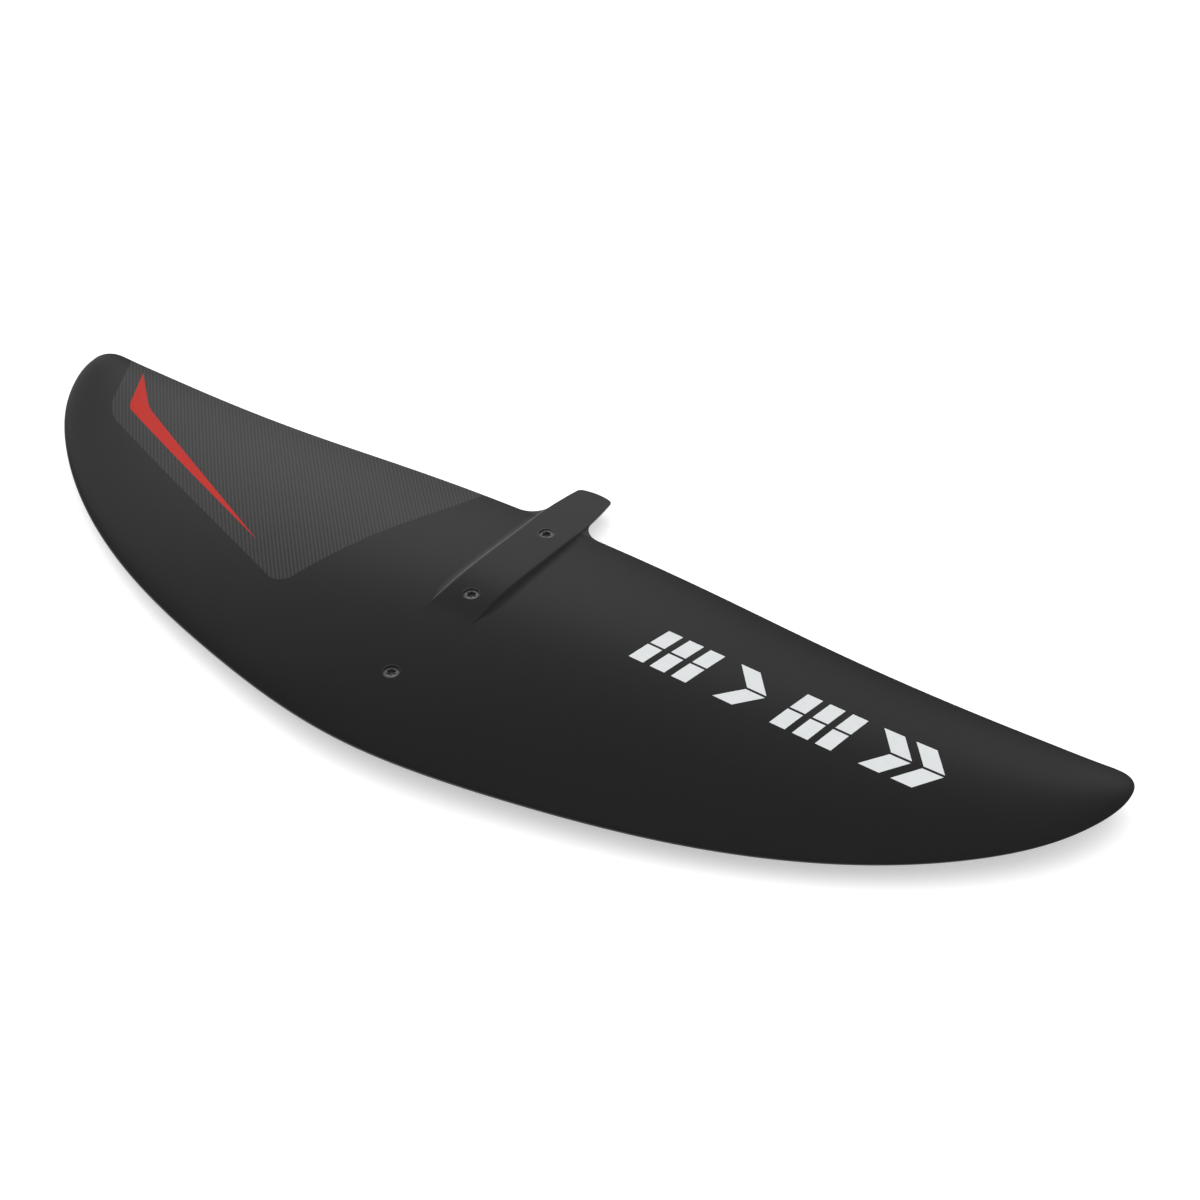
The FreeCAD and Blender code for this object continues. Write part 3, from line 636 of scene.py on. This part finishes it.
def slashes(left):
    """Three upright slanted bars, each parted by a slit."""
    bars = []
    for index in range(3):
        start = left + BAR_PITCH * index
        bars.append(bar(start, BAR_WIDTH, LOW_ROW, BAR_LEAN))
        bars.append(bar(start + BAR_SHIFT, BAR_WIDTH, HIGH_ROW, BAR_LEAN))
    return bars


def chevron(x, lean):
    """Two slanted bars that meet in a point aimed along the span."""
    return [bar(x, ARROW_WIDTH, LOW_ROW, lean),
            bar(x + lean, ARROW_WIDTH, HIGH_ROW, -lean)]


MARKS = {
    "mark_bars_inner": slashes(93),
    "mark_arrow_inner": chevron(142, 11.0),
    "mark_bars_outer": slashes(174),
    "mark_arrow_outer": chevron(222, 10.0) + chevron(239, 10.0),
}

woven_patch = inlay("woven_patch", [patch_loop], PLY_LIFT)
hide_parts("surface_ply")
red_stripe = inlay("red_stripe", [accent_loop], PAINT_LIFT)
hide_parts("colour_accent")
mark_pieces = []
for node in MARKS:
    piece = inlay("print_" + node[5:], MARKS[node], PRINT_LIFT)
    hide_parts(node)
    mark_pieces.append(piece)
for piece in [woven_patch, red_stripe] + mark_pieces:
    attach(piece, BODY)


# ---------------------------------------------------------------------------
# Screws: countersunk head with a six-lobed drive, shank and rolled thread
# ---------------------------------------------------------------------------
AROUND = 72
PITCH = 0.8
TURN_STEPS = 12         # rings in one turn of the thread
NECK_R = 2.25
THREAD_R = 2.48
ROOT_R = 2.02
DRIVE_R = 2.6
DRIVE_DEPTH = 1.6
LOBE = 0.14             # depth of the lobes, as a part of the drive's radius
LAND_R = 3.3            # flat ring around the drive
HEAD_EDGE = 0.35        # where the cone starts below the top
THREAD_FROM = 0.3       # start of the thread below the seat
RUNOUT = 0.9            # length over which the thread fades
SCREW_CREASE = 38.0
thread_turns = np.arange(AROUND) / AROUND
drive_wave = np.cos(12 * math.pi * thread_turns)


def thread_radius(depth, start, end):
    """Radius around the screw at a depth, for a thread between two depths."""
    phase = (depth / PITCH - thread_turns) % 1.0
    ridge_part = np.clip(2.4 * (1 - np.abs(2 * phase - 1)) - 0.6, 0, 1)
    run = ease((depth - start) / RUNOUT) * ease((end - depth) / RUNOUT)
    return ROOT_R + (THREAD_R - ROOT_R) * ridge_part * run


def screw_piece(name, node):
    """Closed mesh of one screw, ring by ring from the drive to the tip."""
    low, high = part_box(node)
    y = (low.y + high.y) / 2 / MM
    top = high.z / MM
    length = (high.z - low.z) / MM
    head_r = (high.x - low.x) / 2 / MM
    lobes = DRIVE_R * (1 - LOBE + LOBE * drive_wave)
    even = np.ones(AROUND)
    rings = [(0.25 * lobes, DRIVE_DEPTH + 0.12), (0.8 * lobes, DRIVE_DEPTH),
             (0.95 * lobes, DRIVE_DEPTH - 0.06), (0.975 * lobes, DRIVE_DEPTH - 0.4)]
    rings += [(lobes, 0.12), (1.02 * lobes, 0.03), (1.05 * lobes, 0.0)]
    rings += [(LAND_R * even, 0.0), ((head_r - 0.22) * even, 0.0),
              ((head_r - 0.10) * even, 0.03), ((head_r - 0.02) * even, 0.11),
              (head_r * even, 0.2), (head_r * even, HEAD_EDGE)]
    cone_end = HEAD_EDGE + head_r - NECK_R
    rings += [((head_r - 0.06) * even, 0.44), ((NECK_R + 0.1) * even, cone_end - 0.12),
              (NECK_R * even, cone_end + 0.1)]
    start = top + THREAD_FROM
    rings += [(NECK_R * even, start - 0.35), (ROOT_R * even, start)]
    steps = int((length - start - 0.5) / PITCH * TURN_STEPS)
    for k in range(1, steps + 1):
        depth = start + k * PITCH / TURN_STEPS
        rings.append((thread_radius(depth, start, length - 0.3), depth))
    rings += [(0.93 * ROOT_R * even, length - 0.18),
              (0.8 * ROOT_R * even, length - 0.02)]
    verts = []
    for radius, depth in rings:
        for k in range(AROUND):
            turn = 2 * math.pi * k / AROUND
            verts.append((radius[k] * math.cos(turn), y + radius[k] * math.sin(turn),
                          top - depth))
    faces = []
    for i in range(len(rings) - 1):
        for j in range(AROUND):
            a, b = i * AROUND + j, i * AROUND + (j + 1) % AROUND
            faces.append((a, b, b + AROUND, a + AROUND))
    last = (len(rings) - 1) * AROUND
    verts += [(0, y, top - DRIVE_DEPTH - 0.16), (0, y, top - length)]
    for j in range(AROUND):
        faces.append(((j + 1) % AROUND, j, len(verts) - 2))
        faces.append((last + j, last + (j + 1) % AROUND, len(verts) - 1))
    return new_object(name, verts, faces, SCREW_CREASE)


screw_pieces = []
for place in SCREW_Y:
    piece = screw_piece("lobed_screw_" + place, "screw_" + place)
    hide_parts("screw_" + place)
    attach(piece, "screw_" + place)
    screw_pieces.append(piece)


# ---------------------------------------------------------------------------
# Materials
# ---------------------------------------------------------------------------
class Nodes:
    """Short hand for building a node tree."""

    def __init__(self, name):
        self.material = bpy.data.materials.new(name)
        self.material.use_nodes = True
        self.tree = self.material.node_tree
        self.shader = self.tree.nodes["Principled BSDF"]

    @classmethod
    def of_tree(cls, tree):
        """Helper for a node tree that exists already, such as the world's."""
        made = cls.__new__(cls)
        made.tree = tree
        return made

    def add(self, kind, **values):
        node = self.tree.nodes.new(kind)
        for key, value in values.items():
            setattr(node, key, value)
        return node

    def link(self, source, target):
        self.tree.links.new(source, target)

    def position(self, scale):
        """Object position times scale."""
        coords = self.add("ShaderNodeTexCoord")
        mapping = self.add("ShaderNodeMapping")
        mapping.inputs["Scale"].default_value = scale
        self.link(coords.outputs["Object"], mapping.inputs["Vector"])
        return mapping.outputs["Vector"]

    def noise(self, scale, detail=3.0, stretch=(1, 1, 1), rough=0.5):
        node = self.add("ShaderNodeTexNoise")
        node.inputs["Scale"].default_value = scale
        node.inputs["Detail"].default_value = detail
        node.inputs["Roughness"].default_value = rough
        self.link(self.position(stretch), node.inputs["Vector"])
        return node.outputs["Fac"]

    def math(self, operation, a, b=None):
        node = self.add("ShaderNodeMath", operation=operation)
        for socket, value in zip(node.inputs, (a, b)):
            if value is None:
                continue
            if isinstance(value, (int, float)):
                socket.default_value = value
            else:
                self.link(value, socket)
        return node.outputs[0]

    def span(self, value, low, high):
        """Map 0..1 to low..high."""
        node = self.add("ShaderNodeMapRange")
        self.link(value, node.inputs["Value"])
        node.inputs["To Min"].default_value = low
        node.inputs["To Max"].default_value = high
        return node.outputs[0]

    def step(self, value, start, end):
        """Smooth step from 0 at start to 1 at end."""
        node = self.add("ShaderNodeMapRange", interpolation_type="SMOOTHSTEP")
        self.link(value, node.inputs["Value"])
        node.inputs["From Min"].default_value = start
        node.inputs["From Max"].default_value = end
        return node.outputs[0]

    def mix(self, factor, first, second):
        node = self.add("ShaderNodeMix", data_type="RGBA")
        if isinstance(factor, (int, float)):
            node.inputs[0].default_value = factor
        else:
            self.link(factor, node.inputs[0])
        for socket, value in ((node.inputs[6], first), (node.inputs[7], second)):
            if isinstance(value, tuple):
                socket.default_value = (*value, 1)
            else:
                self.link(value, socket)
        return node.outputs[2]

    def bump(self, height, distance, strength=1.0, below=None):
        node = self.add("ShaderNodeBump")
        node.inputs["Strength"].default_value = strength
        node.inputs["Distance"].default_value = distance
        self.link(height, node.inputs["Height"])
        if below is not None:
            self.link(below, node.inputs["Normal"])
        return node.outputs["Normal"]

    def finish(self, colour, rough, metal=0.0, coat=0.0, coat_rough=0.05, ior=1.5,
               specular=0.5, normal=None, coat_normal=None):
        shader = self.shader
        if isinstance(colour, tuple):
            shader.inputs["Base Color"].default_value = (*colour, 1)
        else:
            self.link(colour, shader.inputs["Base Color"])
        if isinstance(rough, (int, float)):
            shader.inputs["Roughness"].default_value = rough
        else:
            self.link(rough, shader.inputs["Roughness"])
        shader.inputs["Metallic"].default_value = metal
        shader.inputs["Coat Weight"].default_value = coat
        shader.inputs["Coat Roughness"].default_value = coat_rough
        shader.inputs["IOR"].default_value = ior
        shader.inputs["Specular IOR Level"].default_value = specular
        if normal is not None:
            self.link(normal, shader.inputs["Normal"])
        if coat_normal is not None:
            self.link(coat_normal, shader.inputs["Coat Normal"])
        return self.material


def twill(nodes, cell):
    """Two-by-two twill: which tow is on top, and its crowned height."""
    coords = nodes.add("ShaderNodeTexCoord")
    split = nodes.add("ShaderNodeSeparateXYZ")
    nodes.link(coords.outputs["Object"], split.inputs[0])
    u = nodes.math("MULTIPLY", split.outputs["X"], 1 / cell)
    v = nodes.math("MULTIPLY", split.outputs["Y"], 1 / cell)
    iu = nodes.math("FLOOR", u)
    iv = nodes.math("FLOOR", v)
    fu = nodes.math("SUBTRACT", u, iu)
    fv = nodes.math("SUBTRACT", v, iv)
    step = nodes.math("ADD", iu, iv)
    quarter = nodes.math("FLOORED_MODULO", step, 4.0)
    over = nodes.math("LESS_THAN", quarter, 1.5)

    def crown(fraction):
        centred = nodes.math("SUBTRACT", fraction, 0.5)
        square = nodes.math("MULTIPLY", centred, centred)
        return nodes.math("SUBTRACT", 1.0, nodes.math("MULTIPLY", square, 3.2))

    warp = nodes.math("MULTIPLY", crown(fu), over)
    under = nodes.math("SUBTRACT", 1.0, over)
    weft = nodes.math("MULTIPLY", crown(fv), under)
    return over, nodes.math("ADD", warp, weft)


BODY_COAT = 0.45
COAT_ROUGH = 0.11
PATCH_TOW = 0.00072     # width of a tow in metres, in the patch and inside
INNER_TOW = 0.002


def carbon_clear():
    """Near-black laminate under a thin clear coat."""
    n = Nodes("clear_coated_carbon")
    tone = n.noise(9.0, 4.0)
    fibre = n.noise(60.0, 2.0, (0.12, 1.0, 0.5))
    base = n.mix(n.span(tone, 0.2, 0.8), (0.0080, 0.0076, 0.0078),
                 (0.0110, 0.0104, 0.0106))
    base = n.mix(n.span(fibre, 0.0, 0.35), base, (0.0138, 0.0131, 0.0133))
    peel = n.bump(n.noise(70.0, 2.0), 0.00002, 0.25)
    rough = n.span(n.noise(14.0, 5.0), 0.30, 0.40)
    return n.finish(base, rough, coat=BODY_COAT, coat_rough=COAT_ROUGH, specular=0.25,
                    normal=peel, coat_normal=peel)


def woven_clear():
    """Fine twill ply under the same coat, with painted light: a lighter copy of the carbon
    on the tows on top as a painted sheen, and painted shade where the tows dip at their
    edges.
    """
    n = Nodes("woven_carbon")
    over, height = twill(n, PATCH_TOW)
    tone = n.noise(7.0, 3.0)
    # painted sheen: the tows on top get a lighter copy of the same near-black carbon
    light = n.mix(over, (0.018, 0.0168, 0.0166), (0.048, 0.0450, 0.0442))
    # painted shade: darker where each tow dips at its edges; the next mix adds random tone
    weave_painted_light_and_tone = n.mix(n.span(height, 0.75, 0.0), light, (0.012, 0.0115, 0.012))
    weave_painted_light_and_tone = n.mix(n.span(tone, 0.0, 0.22), weave_painted_light_and_tone, (0.036, 0.0342, 0.0338))
    weave = n.bump(height, 0.00004, 0.4)
    return n.finish(weave_painted_light_and_tone, n.span(n.noise(30.0, 3.0), 0.34, 0.44), coat=BODY_COAT,
                    coat_rough=COAT_ROUGH, specular=0.3, normal=weave)


def paint_red():
    """Red paint of the stripe."""
    n = Nodes("red_paint")
    base = n.mix(n.noise(160.0, 3.0), (0.46, 0.0135, 0.0075), (0.53, 0.0185, 0.0105))
    peel = n.bump(n.noise(120.0, 2.0), 0.00002, 0.3)
    return n.finish(base, n.span(n.noise(40.0), 0.34, 0.42), coat=0.28,
                    coat_rough=COAT_ROUGH, specular=0.2, normal=peel)


def print_white():
    """White print of the marks."""
    n = Nodes("white_print")
    base = n.mix(n.noise(220.0, 4.0), (0.70, 0.72, 0.73), (0.78, 0.80, 0.805))
    grain = n.bump(n.noise(900.0, 2.0), 0.00001, 0.3)
    return n.finish(base, n.span(n.noise(60.0), 0.42, 0.5), coat=0.3, coat_rough=0.12,
                    specular=0.3, normal=grain)


def turned_metal(name, dark, light, rough):
    """Metal with fine turning rings."""
    n = Nodes(name)
    base = n.mix(n.noise(700.0, 3.0), dark, light)
    rings = n.bump(n.noise(2500.0, 2.0, (1, 1, 0.2)), 0.00001, 0.4)
    return n.finish(base, n.span(n.noise(300.0), rough, rough + 0.1), metal=1.0,
                    normal=rings)


def laminate(name, dark, light, rough):
    """Uncoated carbon of the seat plate and the inner pieces; the tows on top get the
    lighter colour as a painted sheen.
    """
    n = Nodes(name)
    over, height = twill(n, INNER_TOW)
    # painted sheen: light is a lighter copy of dark, laid on the tows on top
    base = n.mix(over, dark, light)
    base = n.mix(n.span(n.noise(25.0, 4.0), 0.0, 0.4), base, dark)
    weave = n.bump(height, 0.00005, 0.4)
    return n.finish(base, n.span(n.noise(50.0), rough, rough + 0.12), normal=weave)


def foam():
    """Closed-cell foam of the core."""
    n = Nodes("closed_cell_foam")
    cells = n.add("ShaderNodeTexVoronoi")
    cells.inputs["Scale"].default_value = 900.0
    n.link(n.position((1, 1, 1)), cells.inputs["Vector"])
    base = n.mix(cells.outputs["Distance"], (0.84, 0.80, 0.70), (0.66, 0.61, 0.50))
    pores = n.bump(cells.outputs["Distance"], 0.0002, 0.6)
    return n.finish(base, 0.85, normal=pores)


CARBON = carbon_clear()
WOVEN = woven_clear()
RED = paint_red()
WHITE = print_white()
SLEEVE = turned_metal("sleeve_steel", (0.34, 0.34, 0.345), (0.46, 0.46, 0.465), 0.26)
SCREW = turned_metal("screw_steel", (0.30, 0.30, 0.305), (0.42, 0.42, 0.425), 0.30)
# The second colour of each laminate is the painted sheen of its tows on top.
SEAT = laminate("seat_laminate", (0.022, 0.022, 0.024), (0.036, 0.036, 0.038), 0.45)
BLOCK = laminate("block_laminate", (0.02, 0.02, 0.022), (0.03, 0.03, 0.032), 0.4)
SPAR = laminate("spar_laminate", (0.03, 0.03, 0.032), (0.045, 0.045, 0.047), 0.5)
FOAM = foam()

BY_NODE = {
    "seat_plate": SEAT, "centre_block": BLOCK, "core": FOAM, "spar": SPAR,
    "shear": SPAR, "tip": BLOCK, "sleeve": SLEEVE, "screw": SCREW,
    "surface": WOVEN, "colour": RED, "mark": WHITE, "upper": CARBON, "lower": CARBON,
}
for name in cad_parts:
    key = name if name in BY_NODE else name.split("_")[0]
    for slot in bpy.data.objects[name].material_slots:
        slot.material = BY_NODE[key]
for pieces, material in (([upper_shell, lower_shell], CARBON), ([woven_patch], WOVEN),
                         ([red_stripe], RED), (mark_pieces, WHITE),
                         (screw_pieces, SCREW)):
    for piece in pieces:
        piece.data.materials.clear()
        piece.data.materials.append(material)

# ---------------------------------------------------------------------------
# Floor, light and camera
# ---------------------------------------------------------------------------
STAGE_SIDES = 96
FLOOR_REACH = 5.0       # metres
FLOOR_PANEL = 1.5       # radius of the middle panel
SWEEP = 3.0             # radius of the curve up into the backdrop
SWEEP_STEPS = 24
BACKDROP_TOP = 9.0


def stage_piece(name, profile, material):
    """Turned stage surface from (radius, height) points in metres.

    A profile that starts out level gets a panel across its middle.
    """
    around = STAGE_SIDES
    verts = [(radius * math.cos(2 * math.pi * k / around),
              radius * math.sin(2 * math.pi * k / around), height)
             for radius, height in profile for k in range(around)]
    faces = [(i * around + k, i * around + (k + 1) % around,
              (i + 1) * around + (k + 1) % around, (i + 1) * around + k)
             for i in range(len(profile) - 1) for k in range(around)]
    if profile[0][1] == profile[1][1]:
        faces.append(tuple(range(around))[::-1])
    mesh = bpy.data.meshes.new(name)
    mesh.from_pydata(verts, [], faces)
    mesh.materials.append(material)
    for face in mesh.polygons:
        face.use_smooth = True
    obj = bpy.data.objects.new(name, mesh)
    bpy.context.scene.collection.objects.link(obj)
    return obj


def pale_floor():
    """Near-white floor that glows a little, so that it renders white."""
    n = Nodes("pale_floor")
    tone = n.mix(n.noise(1.5, 2.0), (0.71, 0.71, 0.71), (0.74, 0.74, 0.74))
    material = n.finish(tone, 0.8, specular=0.05)
    n.shader.inputs["Emission Color"].default_value = (1, 1, 1, 1)
    n.shader.inputs["Emission Strength"].default_value = 0.5
    return material


floor_z = CAD_BOUNDS[0][2]
PALE = pale_floor()
stage_piece("floor", [(FLOOR_PANEL, floor_z), (FLOOR_REACH, floor_z)], PALE)
sweep = []
for k in range(SWEEP_STEPS + 1):
    bend = math.pi / (2 * SWEEP_STEPS) * k
    sweep.append((FLOOR_REACH + SWEEP * math.sin(bend),
                  floor_z + SWEEP * (1 - math.cos(bend))))
backdrop = stage_piece("backdrop", sweep + [(FLOOR_REACH + SWEEP, BACKDROP_TOP)], PALE)
backdrop.visible_glossy = False
backdrop.visible_diffuse = False
backdrop.visible_shadow = False


# Room, as seen from the wing: where each wall fades in, by direction, and how
# bright it is.
ROOM_LEVEL = 0.16
BEHIND = (0.0, 0.34)            # along Y
HIGH_EDGE = (0.86, 0.64)        # along Z, from the ceiling down
HIGH_LEVEL = 0.10
LEFT_EDGE = (0.10, -0.36)       # along X
LOW_EDGE = (0.68, 0.50)         # along Z
LOW_LEVEL = 0.35


def studio_world():
    """Dim room with a pale wall behind the wing, brighter low on the left."""
    world = bpy.data.worlds.new("studio")
    bpy.context.scene.world = world
    world.use_nodes = True
    n = Nodes.of_tree(world.node_tree)
    coords = n.add("ShaderNodeTexCoord")
    split = n.add("ShaderNodeSeparateXYZ")
    n.link(coords.outputs["Generated"], split.inputs[0])
    behind = n.step(split.outputs["Y"], *BEHIND)
    high_wall = n.math("MULTIPLY", behind, n.step(split.outputs["Z"], *HIGH_EDGE))
    left_side = n.math("MULTIPLY", behind, n.step(split.outputs["X"], *LEFT_EDGE))
    low_wall = n.math("MULTIPLY", left_side, n.step(split.outputs["Z"], *LOW_EDGE))
    level = n.math("ADD", n.math("MULTIPLY", high_wall, HIGH_LEVEL),
                   n.math("MULTIPLY", low_wall, LOW_LEVEL))
    background = world.node_tree.nodes["Background"]
    background.inputs[0].default_value = (1, 1, 1, 1)
    n.link(n.math("ADD", level, ROOM_LEVEL), background.inputs[1])


def softbox(name, place, size, power):
    """Area light aimed at the origin, which the wing doesn't mirror."""
    data = bpy.data.lights.new(name, "AREA")
    data.shape = "RECTANGLE"
    data.size, data.size_y = size
    data.energy = power
    obj = bpy.data.objects.new(name, data)
    bpy.context.scene.collection.objects.link(obj)
    obj.location = place
    obj.rotation_euler = (-Vector(place)).to_track_quat("-Z", "Y").to_euler()
    obj.visible_glossy = False


studio_world()
softbox("key", (0.1, -0.3, 2.4), (2.8, 2.8), 66)
softbox("side", (-2.0, 0.6, 1.1), (1.2, 0.8), 6)

# Camera, from a camera solve.
CAMERA_PLACE = (0.40226, -0.49915, 0.58132)
VIEW_RIGHT = (0.84058, 0.54168, -0.00011)
VIEW_UP = (-0.36265, 0.56291, 0.74271)
VIEW_BACK = (0.40237, -0.62427, 0.66961)
SENSOR = 36.0
LENS = 48.52
SHIFT_UP = 0.0071

cam_data = bpy.data.cameras.new("camera")
camera = bpy.data.objects.new("camera", cam_data)
bpy.context.scene.collection.objects.link(camera)
facing = Matrix((VIEW_RIGHT, VIEW_UP, VIEW_BACK)).transposed().to_4x4()
camera.matrix_world = Matrix.Translation(CAMERA_PLACE) @ facing
cam_data.sensor_width = SENSOR
cam_data.lens = LENS
cam_data.shift_y = SHIFT_UP
cam_data.clip_start = 0.01
cam_data.clip_end = 50.0
bpy.context.scene.camera = camera
bpy.context.scene.view_settings.view_transform = "Standard"
